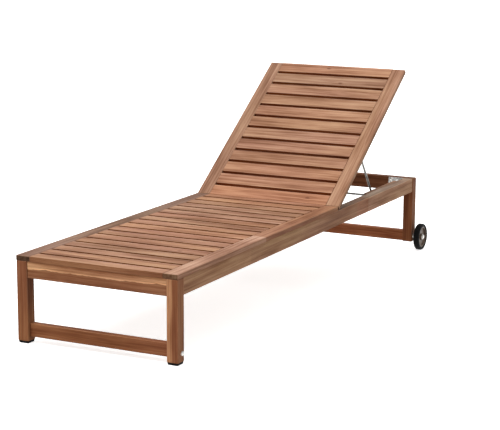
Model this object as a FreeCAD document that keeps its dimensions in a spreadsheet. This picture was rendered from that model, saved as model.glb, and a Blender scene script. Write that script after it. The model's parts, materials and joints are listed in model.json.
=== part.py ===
"""Reclining sun lounger: a slatted wooden deck on four legs, a hinged slatted
backrest held by a steel prop, and two wheels at the head end (millimetres).

The pieces are laid out in the frame's own axes: X across, Y from the foot end
to the head end, Z up from the undersides of the legs.  The frame stands on two
glides and two slightly lower wheels, so the finished model is turned by that
small slope and put with the middle of its box over the origin.
The backrest pieces are laid out lying flat and then turned up about the hinge.
"""

import FreeCAD
import Part
import Sketcher
import math
import os

Vector = FreeCAD.Vector
Placement = FreeCAD.Placement
Rotation = FreeCAD.Rotation

SEAT_SLATS = 18
BACK_SLATS = 12
RACK_NOTCHES = 4
LEDGE_STEPS = 8
LEDGE_EXTRA_STEPS = 2
SIDES = (("left", -1), ("right", 1))
ACROSS = Vector(1, 0, 0)

SIZES = {
    # overall
    "frame_length": 2000.0,
    "deck_width": 584.0,
    "deck_height": 278.7,
    # frame timbers
    "leg_width": 40.0,
    "board_overhang": 0.5,
    "rail_height": 55.0,
    "rail_thickness": 38.0,
    "rail_setback": 2.0,
    "apron_thickness": 28.0,
    "middle_rail_thickness": 30.0,
    "stretcher_height": 43.5,
    "stretcher_thickness": 25.0,
    "stretcher_setback": 12.0,
    "front_stretcher_lift": 14.0,
    "rear_stretcher_lift": 1.0,
    "ledger_width": 24.0,
    "ledger_height": 22.0,
    "ledger_end_gap": 6.0,
    # deck and backrest boards
    "board_thickness": 16.7,
    "board_width": 51.5,
    "slat_end_gap": 0.6,
    "seat_slat_width": 55.6,
    "seat_slat_gap": 13.0,
    "first_seat_slat_width": 49.2,
    "last_seat_slat_width": 43.5,
    "back_length": 773.5,
    "back_slat_width": 53.1,
    "back_slat_gap": 12.8,
    "first_back_slat_width": 50.4,
    "bearer_width": 30.0,
    "bearer_thickness": 18.0,
    "bearer_margin": 22.0,
    # backrest hinge
    "recline_angle": 34.4,
    "hinge_gap": 12.7,
    "hinge_drop": 17.0,
    "hinge_setback": 10.5,
    "hinge_bolt_radius": 5.0,
    "hinge_plate": 4.0,
    "hinge_plate_reach": 84.0,
    "hinge_eye_radius": 14.0,
    "hinge_flange_width": 23.0,
    "hinge_flange_setback": 2.0,
    "hinge_bolt_depth": 23.0,
    "bolt_head_gap": 0.5,
    # prop
    "prop_distance": 368.4,
    "prop_drop": 10.4,
    "prop_length": 278.7,
    "prop_foot_height": 233.8,
    "prop_folded_angle": 3.0,
    "prop_side_gap": 5.0,
    "prop_rod_radius": 4.0,
    "prop_bend_radius": 16.0,
    "prop_pin_bend_radius": 6.0,
    "prop_pin_reach": 21.0,
    "prop_ear": 3.0,
    "prop_ear_gap": 5.0,
    "prop_ear_length": 36.0,
    "prop_ear_drop": 9.0,
    "prop_ear_top_gap": 1.0,
    "rack_lift": 2.0,
    "rack_ledge_width": 23.0,
    "rack_back_width": 13.0,
    "rack_margin": 20.0,
    "rack_clearance": 0.6,
    "notch_radius": 5.5,
    "notch_drop": 2.0,
    # wheels, glides and hardware
    "wheel_radius": 53.5,
    "wheel_width": 24.0,
    "tyre_shoulder": 4.0,
    "wheel_side_play": 0.4,
    "wheel_from_rear": 20.0,
    "wheel_height": 21.8,
    "wheel_spacer_length": 18.5,
    "wheel_spacer_radius": 11.0,
    "rim_radius": 42.0,
    "rim_width": 18.0,
    "hub_recess": 6.0,
    "hub_web": 5.0,
    "hub_boss_radius": 13.0,
    "axle_radius": 5.0,
    "axle_engagement": 70.0,
    "bolt_head_radius": 7.5,
    "bolt_head_height": 4.0,
    "washer_radius": 10.0,
    "washer_thickness": 1.5,
    "running_clearance": 0.1,
    "glide_inset": 1.0,
    "glide_taper": 2.5,
    "glide_height": 8.0,
    "glide_recess": 1.0,
    "leg_bolt_height": 28.0,
    "leg_bolt_radius": 4.0,
    "leg_bolt_length": 90.0,
    "bracket_side": 68.0,
    "bracket_depth": 24.0,
    "bracket_plate": 2.5,
    "bracket_drop": 2.0,
}

doc = FreeCAD.newDocument("sun_lounger")
sheet = doc.addObject("Spreadsheet::Sheet", "Sizes")
for row, (alias, value) in enumerate(SIZES.items(), start=1):
    sheet.set("A%d" % row, alias)
    sheet.set("B%d" % row, str(value))
    sheet.setAlias("B%d" % row, alias)
doc.recompute()


def size(alias):
    """A driving dimension, read back from the sheet."""
    return float(sheet.get(alias))


# ---------------------------------------------------------------- layout
half_deck = size("deck_width") / 2
rail_top = size("deck_height") - size("board_thickness")
rail_bottom = rail_top - size("rail_height")
leg_outer = half_deck - size("board_overhang")
leg_inner = leg_outer - size("leg_width")
front_leg_y = size("board_overhang")
rear_leg_y = size("frame_length") - size("leg_width")
rail_front_y = front_leg_y + size("leg_width")
rail_outer = leg_outer - size("rail_setback")
rail_inner = rail_outer - size("rail_thickness")
board_inner = half_deck - size("board_width")
slat_half = board_inner - size("slat_end_gap")

seat_pitch = size("seat_slat_width") + size("seat_slat_gap")
seat_end = (size("first_seat_slat_width") + size("seat_slat_gap")
            + (SEAT_SLATS - 2) * seat_pitch + size("last_seat_slat_width"))
hinge_y = seat_end + size("hinge_gap")
hinge_z = rail_top - size("hinge_drop")
back_start = hinge_y + size("hinge_setback")
back_pitch = size("back_slat_width") + size("back_slat_gap")
last_back_slat_start = (size("first_back_slat_width") + size("back_slat_gap")
                        + (BACK_SLATS - 2) * back_pitch)

hinge_plate_outer = rail_inner - 2 * size("washer_thickness")
hinge_plate_inner = hinge_plate_outer - size("hinge_plate")

rack_back_inner = rail_inner - size("rack_back_width")
rack_inner = rack_back_inner - size("rack_ledge_width")
prop_half_width = rack_back_inner - size("prop_side_gap") - size("prop_rod_radius")
ear_outer = prop_half_width - size("prop_rod_radius") - size("prop_ear_gap")
bearer_outer = ear_outer - size("prop_ear")
bearer_inner = bearer_outer - size("bearer_width")
bearer_bottom = rail_top - size("bearer_thickness")

wheel_y = size("frame_length") - size("wheel_from_rear")
wheel_inner = leg_outer + size("wheel_spacer_length")
wheel_outer = wheel_inner + size("wheel_width")
glide_y = front_leg_y + size("leg_width") / 2
glide_x = (leg_outer + leg_inner) / 2


# ---------------------------------------------------------------- linkage
def turned(y, z, degrees):
    """A point of the side view, turned about the origin."""
    angle = math.radians(degrees)
    return (y * math.cos(angle) - z * math.sin(angle),
            y * math.sin(angle) + z * math.cos(angle))


prop_pivot_z = rail_top - size("prop_drop")


def prop_pivot(recline):
    """The prop's upper pivot with the backrest raised by recline degrees."""
    y, z = turned(size("prop_distance"), prop_pivot_z - hinge_z, recline)
    return hinge_y + y, hinge_z + z


pivot_at_rest = prop_pivot(size("recline_angle"))
prop_slope = math.degrees(math.asin(
    (pivot_at_rest[1] - size("prop_foot_height")) / size("prop_length")))
prop_rest_angle = size("recline_angle") + prop_slope
prop_ratio = (prop_rest_angle - size("prop_folded_angle")) / size("recline_angle")


def prop_foot(recline):
    """The crossbar's centre when the prop folds in step with the backrest."""
    angle = prop_rest_angle - prop_ratio * (size("recline_angle") - recline)
    y, z = prop_pivot(recline)
    reach, fall = turned(size("prop_length"), 0, recline - angle)
    return y + reach, z + fall


# ---------------------------------------------------------------- placements
glide_to_wheel_y = wheel_y - glide_y
glide_to_wheel_z = size("wheel_height") + size("glide_height")
glide_to_wheel = math.hypot(glide_to_wheel_y, glide_to_wheel_z)
slope = (math.degrees(math.asin(size("wheel_radius") / glide_to_wheel))
         - math.degrees(math.atan2(glide_to_wheel_z, glide_to_wheel_y)))
front_edge = turned(0, size("deck_height"), slope)[0]
rear_edge = turned(wheel_y, size("wheel_height"), slope)[0] + size("wheel_radius")
floor_level = turned(glide_y, -size("glide_height"), slope)[1]

FRAME = Placement(Vector(0, -(front_edge + rear_edge) / 2, -floor_level),
                  Rotation(ACROSS, slope))
HINGE = Vector(0, hinge_y, hinge_z)
BACKREST = (FRAME * Placement(HINGE, Rotation(ACROSS, size("recline_angle")))
            * Placement(-HINGE, Rotation()))
PROP = (BACKREST
        * Placement(Vector(0, hinge_y + size("prop_distance"), prop_pivot_z),
                    Rotation(ACROSS, -prop_rest_angle)))

parts = []


def finish(piece, label, where, x=0.0, y=0.0, z=0.0, rotation=Rotation()):
    """Name a sub-part, put it at a point of the frame or backrest, and keep it."""
    piece.Label = label
    piece.Placement = where * Placement(Vector(x, y, z), rotation)
    parts.append(piece)
    return piece


# ---------------------------------------------------------------- PartDesign helpers
def origin_plane(body, role):
    for feature in body.Origin.OriginFeatures:
        if feature.Role == role:
            return feature
    raise ValueError("no plane " + role)


def new_sketch(body, role, name):
    sketch = body.newObject("Sketcher::SketchObject", name)
    sketch.AttachmentSupport = [(origin_plane(body, role), "")]
    sketch.MapMode = "FlatFace"
    return sketch


def closed_outline(sketch, points):
    """Straight lines through the points, joined end to end and closed."""
    count = len(points)
    for index, start in enumerate(points):
        end = points[(index + 1) % count]
        line = Part.LineSegment(Vector(start[0], start[1], 0), Vector(end[0], end[1], 0))
        sketch.addGeometry(line, False)
    for index in range(count):
        sketch.addConstraint(
            Sketcher.Constraint("Coincident", index, 2, (index + 1) % count, 1))


def pin_to_origin(sketch):
    sketch.addConstraint(Sketcher.Constraint("Coincident", 0, 1, -1, 1))


def drive(sketch, constraint, formula):
    """Add a dimension to the sketch and bind it to a formula of the sheet."""
    index = sketch.addConstraint(constraint)
    sketch.setExpression("Constraints[%d]" % index, formula)


def pad(body, sketch, formula):
    feature = body.newObject("PartDesign::Pad", "Pad")
    feature.Profile = sketch
    feature.setExpression("Length", formula)
    sketch.Visibility = False
    return feature


def board(label, across, along, up):
    """A square-edged timber: its side outline padded across the lounger."""
    body = doc.addObject("PartDesign::Body", label)
    sketch = new_sketch(body, "YZ_Plane", "Side")
    closed_outline(sketch, ((0, 0), (100, 0), (100, 20), (0, 20)))
    pin_to_origin(sketch)
    for edge, direction in ((0, "Horizontal"), (1, "Vertical"),
                            (2, "Horizontal"), (3, "Vertical")):
        sketch.addConstraint(Sketcher.Constraint(direction, edge))
    drive(sketch, Sketcher.Constraint("DistanceX", 0, 1, 0, 2, 100.0), along)
    drive(sketch, Sketcher.Constraint("DistanceY", 1, 1, 1, 2, 20.0), up)
    pad(body, sketch, across)
    return body


def turning(label, profile):
    """A round piece about the X axis, from (x, radius) points bound to formulas.

    Each profile corner is ((x, formula), (radius, formula)).
    """
    body = doc.addObject("PartDesign::Body", label)
    sketch = new_sketch(body, "XY_Plane", "Profile")
    closed_outline(sketch, [(x[0], r[0]) for x, r in profile])
    for index, (x, r) in enumerate(profile):
        if x[0]:
            drive(sketch, Sketcher.Constraint("DistanceX", -1, 1, index, 1, x[0]), x[1])
        else:
            sketch.addConstraint(Sketcher.Constraint("PointOnObject", index, 1, -2))
        drive(sketch, Sketcher.Constraint("DistanceY", -1, 1, index, 1, r[0]), r[1])
    revolution = body.newObject("PartDesign::Revolution", "Turning")
    revolution.Profile = sketch
    revolution.ReferenceAxis = (sketch, ["H_Axis"])
    revolution.Angle = 360.0
    sketch.Visibility = False
    return body


def rod(label, radius, length, x, y, z):
    """A round bar along X that starts at x, as a Part cylinder."""
    bar = doc.addObject("Part::Cylinder", label)
    bar.setExpression("Radius", radius)
    bar.setExpression("Height", length)
    bar.Placement = Placement(Vector(x, y, z), Rotation(Vector(0, 1, 0), 90))
    return bar


def block(label, across, along, up, x, y, z):
    """A plain box with one corner at a point, as a Part box."""
    box = doc.addObject("Part::Box", label)
    box.setExpression("Length", across)
    box.setExpression("Width", along)
    box.setExpression("Height", up)
    box.Placement = Placement(Vector(x, y, z), Rotation())
    return box


def group(label, pieces, where):
    """Several separate solids kept as one sub-part."""
    compound = doc.addObject("Part::Compound", label)
    compound.Links = pieces
    return finish(compound, label, where)


def fused(label, pieces):
    joined = doc.addObject("Part::MultiFuse", label)
    joined.Shapes = pieces
    return joined


def cut(label, base, tool):
    result = doc.addObject("Part::Cut", label)
    result.Base = base
    result.Tool = tool
    return result


# ---------------------------------------------------------------- frame timbers
def make_legs():
    for end, y in (("front", front_leg_y), ("rear", rear_leg_y)):
        for side, sign in SIDES:
            label = "%s_leg_%s" % (end, side)
            leg = board(label, "Sizes.leg_width", "Sizes.leg_width",
                        "Sizes.deck_height - Sizes.board_thickness")
            finish(leg, label, FRAME, leg_inner if sign > 0 else -leg_outer, y)


def make_side_rails():
    length = "Sizes.frame_length - Sizes.board_overhang - 2 * Sizes.leg_width"
    for side, sign in SIDES:
        label = "side_rail_" + side
        rail = board(label, "Sizes.rail_thickness", length, "Sizes.rail_height")
        finish(rail, label, FRAME, rail_inner if sign > 0 else -rail_outer,
               rail_front_y, rail_bottom)


def make_cross_timbers():
    between_legs = ("Sizes.deck_width - 2 * Sizes.board_overhang"
                    " - 2 * Sizes.leg_width")
    between_rails = (between_legs + " + 2 * Sizes.leg_width"
                     " - 2 * Sizes.rail_setback - 2 * Sizes.rail_thickness")
    apron_y = front_leg_y + size("rail_setback")
    rear_rail_y = size("frame_length") - size("rail_setback") - size("apron_thickness")
    front_stretcher_y = front_leg_y + size("stretcher_setback")
    rear_stretcher_y = rear_leg_y + (size("leg_width") - size("stretcher_thickness")) / 2
    middle_y = seat_end - size("last_seat_slat_width") - size("middle_rail_thickness")
    for label, length, thickness, height, half, y, z in (
            ("front_apron", between_legs, "Sizes.apron_thickness",
             "Sizes.rail_height", leg_inner, apron_y, rail_bottom),
            ("rear_cross_rail", between_legs, "Sizes.apron_thickness",
             "Sizes.rail_height", leg_inner, rear_rail_y, rail_bottom),
            ("middle_cross_rail", between_rails, "Sizes.middle_rail_thickness",
             "Sizes.rail_height - Sizes.ledger_height", rail_inner, middle_y, rail_bottom),
            ("front_stretcher", between_legs, "Sizes.stretcher_thickness",
             "Sizes.stretcher_height", leg_inner, front_stretcher_y,
             size("front_stretcher_lift")),
            ("rear_stretcher", between_legs, "Sizes.stretcher_thickness",
             "Sizes.stretcher_height", leg_inner, rear_stretcher_y,
             size("rear_stretcher_lift"))):
        finish(board(label, length, thickness, height), label, FRAME, -half, y, z)


def make_seat_ledgers():
    """Two battens inside the rails carry the ends of the seat slats."""
    ledgers = []
    for side, sign in SIDES:
        x = rail_inner - size("ledger_width") if sign > 0 else -rail_inner
        ledger = block("ledger_" + side, "Sizes.ledger_width", "Sizes.frame_length",
                       "Sizes.ledger_height", x, rail_front_y,
                       rail_top - size("ledger_height"))
        ledger.setExpression("Width", "%s mm" % (seat_end - size("ledger_end_gap")
                                                 - rail_front_y))
        ledgers.append(ledger)
    group("seat_ledgers", ledgers, FRAME)


# ---------------------------------------------------------------- deck
def make_deck_boards():
    along = " + ".join(["Sizes.first_seat_slat_width", "Sizes.seat_slat_gap",
                        "%d * (Sizes.seat_slat_width + Sizes.seat_slat_gap)"
                        % (SEAT_SLATS - 2), "Sizes.last_seat_slat_width"])
    for side, sign in SIDES:
        label = "deck_board_" + side
        finish(board(label, "Sizes.board_width", along, "Sizes.board_thickness"), label,
               FRAME, board_inner if sign > 0 else -half_deck, 0, rail_top)


def make_seat_slats():
    across = "Sizes.deck_width - 2 * Sizes.board_width - 2 * Sizes.slat_end_gap"
    start = 0.0
    for number in range(1, SEAT_SLATS + 1):
        label = "seat_slat_%02d" % number
        width = {1: "first_seat_slat_width",
                 SEAT_SLATS: "last_seat_slat_width"}.get(number, "seat_slat_width")
        slat = board(label, across, "Sizes." + width, "Sizes.board_thickness")
        finish(slat, label, FRAME, -slat_half, start, rail_top)
        start += size(width) + size("seat_slat_gap")


# ---------------------------------------------------------------- backrest
def make_back_stiles():
    for side, sign in SIDES:
        label = "back_stile_" + side
        stile = board(label, "Sizes.board_width", "Sizes.back_length",
                      "Sizes.board_thickness")
        finish(stile, label, BACKREST, board_inner if sign > 0 else -half_deck,
               back_start, rail_top)


def make_back_slats():
    across = "Sizes.deck_width - 2 * Sizes.board_width - 2 * Sizes.slat_end_gap"
    last_width = ("Sizes.back_length - Sizes.first_back_slat_width"
                  " - %d * Sizes.back_slat_gap - %d * Sizes.back_slat_width"
                  % (BACK_SLATS - 1, BACK_SLATS - 2))
    start = back_start
    for number in range(1, BACK_SLATS + 1):
        label = "back_slat_%02d" % number
        width = "Sizes.back_slat_width"
        if number == 1:
            width = "Sizes.first_back_slat_width"
        elif number == BACK_SLATS:
            width = last_width
        slat = board(label, across, width, "Sizes.board_thickness")
        finish(slat, label, BACKREST, -slat_half, start, rail_top)
        start += size("first_back_slat_width" if number == 1 else "back_slat_width")
        start += size("back_slat_gap")


def make_back_bearers():
    """Two battens under the backrest slats, bored for the prop's pins."""
    length = last_back_slat_start - size("bearer_margin")
    bearers = []
    for side, sign in SIDES:
        x = bearer_inner if sign > 0 else -bearer_outer
        batten = block("bearer_batten_" + side, "Sizes.bearer_width", "%s mm" % length,
                       "Sizes.bearer_thickness", x,
                       back_start + size("bearer_margin"), bearer_bottom)
        bore = rod("bearer_bore_" + side,
                   "Sizes.prop_rod_radius + Sizes.running_clearance",
                   "Sizes.bearer_width", x, hinge_y + size("prop_distance"),
                   prop_pivot_z)
        bearers.append(cut("bearer_" + side, batten, bore))
    group("back_bearers", bearers, BACKREST)


def make_hinge_brackets():
    """Steel angles under the backrest that swing on the hinge bolts."""
    flange_start = back_start + size("hinge_flange_setback")
    flange_end = hinge_y + size("hinge_plate_reach")
    brackets = []
    for side, sign in SIDES:
        x = hinge_plate_inner if sign > 0 else -hinge_plate_outer
        flange_x = (hinge_plate_outer - size("hinge_flange_width") if sign > 0
                    else -hinge_plate_outer)
        plate_height = rail_top - hinge_z + size("hinge_eye_radius")
        plate = block("hinge_plate_" + side, "Sizes.hinge_plate",
                      "%s mm" % (flange_end - hinge_y), "%s mm" % plate_height,
                      x, hinge_y, hinge_z - size("hinge_eye_radius"))
        trim = block("hinge_trim_" + side, "Sizes.hinge_plate",
                     "%s mm" % (flange_start - hinge_y),
                     "%s mm" % plate_height, x, hinge_y,
                     hinge_z + size("hinge_eye_radius"))
        eye = rod("hinge_eye_" + side, "Sizes.hinge_eye_radius", "Sizes.hinge_plate",
                  x, hinge_y, hinge_z)
        flange = block("hinge_flange_" + side, "Sizes.hinge_flange_width",
                       "%s mm" % (flange_end - flange_start), "Sizes.hinge_plate",
                       flange_x, flange_start, rail_top - size("hinge_plate"))
        hole = rod("hinge_hole_" + side,
                   "Sizes.hinge_bolt_radius + Sizes.running_clearance",
                   "Sizes.hinge_plate", x, hinge_y, hinge_z)
        angle = fused("hinge_angle_" + side,
                      [cut("hinge_web_" + side, plate, trim), eye, flange])
        brackets.append(cut("hinge_bracket_" + side, angle, hole))
    group("hinge_brackets", brackets, BACKREST)


def make_hinge_bolts():
    """Bolts through the side rails, headed on the inside, that carry the brackets."""
    bolts = []
    washer = size("washer_thickness")
    for side, sign in SIDES:
        inner_end = hinge_plate_inner - size("bolt_head_gap") - size("bolt_head_height")
        length = rail_inner + size("hinge_bolt_depth") - inner_end
        shank_x = inner_end if sign > 0 else -inner_end - length
        head_x = inner_end if sign > 0 else -inner_end - size("bolt_head_height")
        shank = rod("hinge_shank_" + side, "Sizes.hinge_bolt_radius",
                    "%s mm" % length, shank_x, hinge_y, hinge_z)
        head = rod("hinge_head_" + side, "Sizes.bolt_head_radius",
                   "Sizes.bolt_head_height", head_x, hinge_y, hinge_z)
        washer_x = (rail_inner - washer) if sign > 0 else -rail_inner
        collar = rod("hinge_collar_" + side, "Sizes.washer_radius",
                     "Sizes.washer_thickness", washer_x, hinge_y, hinge_z)
        bolts.append(fused("hinge_bolt_" + side, [shank, head, collar]))
    group("hinge_bolts", bolts, FRAME)


# ---------------------------------------------------------------- prop and racks
def make_prop_brackets():
    """Steel ears on the outer faces of the bearers that hold the prop's pins."""
    ears = []
    y = hinge_y + size("prop_distance")
    drop = size("prop_ear_drop")
    for side, sign in SIDES:
        x = bearer_outer if sign > 0 else -ear_outer
        ear = block("ear_blank_" + side, "Sizes.prop_ear", "Sizes.prop_ear_length",
                    "%s mm" % (rail_top - prop_pivot_z + drop
                               - size("prop_ear_top_gap")),
                    x, y - size("prop_ear_length") / 2, prop_pivot_z - drop)
        hole = rod("ear_hole_" + side,
                   "Sizes.prop_rod_radius + Sizes.running_clearance",
                   "Sizes.prop_ear", x, y, prop_pivot_z)
        ears.append(cut("prop_ear_" + side, ear, hole))
    group("prop_brackets", ears, BACKREST)


def make_prop():
    """A U-shaped steel rod: two pins, two legs and the crossbar between them."""
    half = prop_half_width
    length = size("prop_length")
    bend = size("prop_bend_radius")
    pin_end = half - size("prop_pin_reach")
    corner = bend * (1 - math.sqrt(0.5))
    top_bend = size("prop_pin_bend_radius")
    top_corner = top_bend * (1 - math.sqrt(0.5))
    edges = [
        Part.LineSegment(Vector(pin_end, 0, 0), Vector(half - top_bend, 0, 0)),
        Part.Arc(Vector(half - top_bend, 0, 0),
                 Vector(half - top_corner, top_corner, 0), Vector(half, top_bend, 0)),
        Part.LineSegment(Vector(half, top_bend, 0), Vector(half, length - bend, 0)),
        Part.Arc(Vector(half, length - bend, 0),
                 Vector(half - corner, length - corner, 0),
                 Vector(half - bend, length, 0)),
        Part.LineSegment(Vector(half - bend, length, 0), Vector(0, length, 0)),
    ]
    path = Part.Wire([edge.toShape() for edge in edges])
    circle = Part.Circle(Vector(pin_end, 0, 0), ACROSS, size("prop_rod_radius"))
    section = Part.Wire([circle.toShape()])
    right_half = path.makePipeShell([section], True, False)
    left_half = right_half.mirror(Vector(0, 0, 0), ACROSS)
    feature = doc.addObject("Part::Feature", "prop_bail")
    feature.Shape = right_half.fuse(left_half).removeSplitter().Solids[0]
    finish(feature, "prop_bail", PROP)


def make_prop_racks():
    """Rebated battens inside the rails whose notched ledge follows the crossbar."""
    positions = [size("recline_angle") * notch / (RACK_NOTCHES - 1)
                 for notch in range(RACK_NOTCHES)]
    steps = [size("recline_angle") * step / LEDGE_STEPS
             for step in range(LEDGE_STEPS + LEDGE_EXTRA_STEPS + 1)]
    below = size("prop_rod_radius") + size("rack_clearance")
    line = sorted(prop_foot(angle) for angle in steps)
    first_y = line[0][0] - size("rack_margin")
    last_y = line[-1][0] + size("rack_margin")
    bottom = rail_bottom + size("rack_lift")
    ledge = ([(first_y, bottom), (first_y, line[0][1] - below)]
             + [(y, z - below) for y, z in line]
             + [(last_y, line[-1][1] - below), (last_y, bottom)])
    corners = [Vector(rack_inner, y, z) for y, z in ledge]
    outline = Part.makePolygon(corners + corners[:1])
    depth = rail_inner - rack_inner
    batten = Part.Face(outline).extrude(Vector(depth, 0, 0))
    back = Part.makeBox(size("rack_back_width"), last_y - first_y, rail_top - bottom,
                        Vector(rack_back_inner, first_y, bottom))
    rack = batten.fuse(back).removeSplitter()
    for angle in positions:
        y, z = prop_foot(angle)
        notch = Part.makeCylinder(size("notch_radius"), size("rack_ledge_width"),
                                  Vector(rack_inner, y, z - size("notch_drop")), ACROSS)
        rack = rack.cut(notch)
    right_rack = rack.Solids[0]
    left_rack = right_rack.mirror(Vector(0, 0, 0), ACROSS).Solids[0]
    feature = doc.addObject("Part::Feature", "prop_racks")
    feature.Shape = Part.makeCompound([left_rack, right_rack])
    finish(feature, "prop_racks", FRAME)


# ---------------------------------------------------------------- wheels
def make_wheels():
    shoulder = "Sizes.tyre_shoulder"
    for side, sign in SIDES:
        tyre = turning("tyre_" + side, (
            ((0, ""), (42.0, "Sizes.rim_radius")),
            ((0, ""), (49.5, "Sizes.wheel_radius - " + shoulder)),
            ((4.0, shoulder), (53.5, "Sizes.wheel_radius")),
            ((20.0, "Sizes.wheel_width - " + shoulder), (53.5, "Sizes.wheel_radius")),
            ((24.0, "Sizes.wheel_width"), (49.5, "Sizes.wheel_radius - " + shoulder)),
            ((24.0, "Sizes.wheel_width"), (42.0, "Sizes.rim_radius"))))
        facing = Rotation() if sign > 0 else Rotation(Vector(0, 0, 1), 180)
        finish(tyre, "tyre_" + side, FRAME, sign * wheel_inner, wheel_y,
               size("wheel_height"), facing)
        bore = "Sizes.axle_radius + Sizes.running_clearance"
        boss = "Sizes.hub_boss_radius"
        rim_in = "Sizes.rim_radius - Sizes.hub_web"
        web_in = "Sizes.rim_width - Sizes.hub_recess - Sizes.hub_web"
        web_out = "Sizes.rim_width - Sizes.hub_recess"
        rim_out = "Sizes.rim_width"
        hub = turning("hub_" + side, (
            ((0, ""), (5.1, bore)),
            ((18.0, rim_out), (5.1, bore)),
            ((18.0, rim_out), (13.0, boss)),
            ((12.0, web_out), (13.0, boss)),
            ((12.0, web_out), (37.0, rim_in)),
            ((18.0, rim_out), (37.0, rim_in)),
            ((18.0, rim_out), (42.0, "Sizes.rim_radius")),
            ((0, ""), (42.0, "Sizes.rim_radius")),
            ((0, ""), (37.0, rim_in)),
            ((7.0, web_in), (37.0, rim_in)),
            ((7.0, web_in), (13.0, boss)),
            ((0, ""), (13.0, boss))))
        hub_x = wheel_inner + (size("wheel_width") - size("rim_width")) / 2
        finish(hub, "hub_" + side, FRAME, sign * hub_x, wheel_y,
               size("wheel_height"), facing)


def make_wheel_axles():
    """Axle bolts through the rear legs, with a washer and spacer at each wheel."""
    solids = []
    hub_inner = wheel_inner + (size("wheel_width") - size("rim_width")) / 2
    hub_outer = hub_inner + size("rim_width")
    side_play = size("wheel_side_play")
    for side, sign in SIDES:
        inner_end = leg_outer - size("axle_engagement")
        washer_start = hub_outer + side_play
        head_start = washer_start + size("washer_thickness")

        def along(start, length):
            return start if sign > 0 else -start - length

        shank_length = head_start - inner_end
        shank = rod("axle_shank_" + side, "Sizes.axle_radius", "%s mm" % shank_length,
                    along(inner_end, shank_length), wheel_y, size("wheel_height"))
        washer = rod("axle_washer_" + side, "Sizes.washer_radius",
                     "Sizes.washer_thickness",
                     along(washer_start, size("washer_thickness")), wheel_y,
                     size("wheel_height"))
        head = rod("axle_head_" + side, "Sizes.bolt_head_radius",
                   "Sizes.bolt_head_height",
                   along(head_start, size("bolt_head_height")), wheel_y,
                   size("wheel_height"))
        solids.append(fused("axle_bolt_" + side, [shank, washer, head]))
        spacer_length = hub_inner - side_play - leg_outer
        sleeve = rod("spacer_sleeve_" + side, "Sizes.wheel_spacer_radius",
                     "%s mm" % spacer_length, along(leg_outer, spacer_length),
                     wheel_y, size("wheel_height"))
        bore = rod("spacer_bore_" + side, "Sizes.axle_radius + Sizes.running_clearance",
                   "%s mm" % spacer_length, along(leg_outer, spacer_length),
                   wheel_y, size("wheel_height"))
        solids.append(cut("axle_spacer_" + side, sleeve, bore))
    group("wheel_axles", solids, FRAME)


# ---------------------------------------------------------------- small hardware
def make_leg_bolts():
    """Button-headed bolts that tie the front legs to their stretcher."""
    y = front_leg_y + size("stretcher_setback") + size("stretcher_thickness") / 2
    z = size("leg_bolt_height")
    bolts = []
    for side, sign in SIDES:
        head_height = size("bolt_head_height")
        inner_end = leg_outer - size("leg_bolt_length")
        shank_x = inner_end if sign > 0 else -leg_outer
        head_x = leg_outer if sign > 0 else -leg_outer - head_height
        shank = rod("leg_shank_" + side, "Sizes.leg_bolt_radius",
                    "Sizes.leg_bolt_length", shank_x, y, z)
        head = rod("leg_head_" + side, "Sizes.bolt_head_radius",
                   "Sizes.bolt_head_height", head_x, y, z)
        bolts.append(fused("leg_bolt_" + side, [shank, head]))
    group("leg_bolts", bolts, FRAME)


def make_glides():
    """Square pads under the front legs, drawn in towards the floor and trimmed level."""
    width = "Sizes.leg_width - 2 * Sizes.glide_inset"
    half = size("leg_width") / 2 - size("glide_inset")
    glides = []
    for side, sign in SIDES:
        blank = doc.addObject("Part::Wedge", "glide_blank_" + side)
        for edge in ("Xmin", "Ymin", "Zmin"):
            blank.setExpression(edge, "0")
        for edge in ("Xmax", "Zmax"):
            blank.setExpression(edge, width)
        for edge in ("X2min", "Z2min"):
            blank.setExpression(edge, "Sizes.glide_taper")
        for edge in ("X2max", "Z2max"):
            blank.setExpression(edge, width + " - Sizes.glide_taper")
        blank.setExpression("Ymax", "Sizes.glide_height + Sizes.glide_recess")
        blank.Placement = FRAME * Placement(
            Vector(sign * glide_x - half, glide_y - half, 0), Rotation(ACROSS, -90))
        below = doc.addObject("Part::Box", "below_floor_" + side)
        for edge in ("Length", "Width", "Height"):
            below.setExpression(edge, "4 * Sizes.leg_width")
        reach = 2 * size("leg_width")
        corner = blank.Placement.Base
        below.Placement.Base = Vector(corner.x - reach, corner.y - reach, -2 * reach)
        glides.append(cut("glide_" + side, blank, below))
    group("glides", glides, Placement())


def make_corner_brackets():
    """Galvanised angles that brace the rear corners, each with a gusset below."""
    rear_rail_y = size("frame_length") - size("rail_setback") - size("apron_thickness")
    plate = size("bracket_plate")
    side = size("bracket_side")
    depth = size("bracket_depth")
    base = rail_top - size("bracket_drop") - depth
    points = [Vector(rail_inner, rear_rail_y, base),
              Vector(rail_inner - side, rear_rail_y, base),
              Vector(rail_inner, rear_rail_y - side, base)]
    gusset = Part.Face(Part.makePolygon(points + points[:1])).extrude(Vector(0, 0, plate))
    rail_flange = Part.makeBox(plate, side, depth,
                               Vector(rail_inner - plate, rear_rail_y - side, base))
    cross_flange = Part.makeBox(side, plate, depth,
                                Vector(rail_inner - side, rear_rail_y - plate, base))
    right = gusset.fuse([rail_flange, cross_flange]).removeSplitter().Solids[0]
    left = right.mirror(Vector(0, 0, 0), ACROSS).Solids[0]
    feature = doc.addObject("Part::Feature", "corner_brackets")
    feature.Shape = Part.makeCompound([left, right])
    finish(feature, "corner_brackets", FRAME)


# ---------------------------------------------------------------- build, check, write
make_legs()
make_side_rails()
make_cross_timbers()
make_seat_ledgers()
make_deck_boards()
make_seat_slats()
make_back_stiles()
make_back_slats()
make_back_bearers()
make_hinge_brackets()
make_hinge_bolts()
make_prop_brackets()
make_prop()
make_prop_racks()
make_wheels()
make_wheel_axles()
make_leg_bolts()
make_glides()
make_corner_brackets()
doc.recompute()

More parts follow.
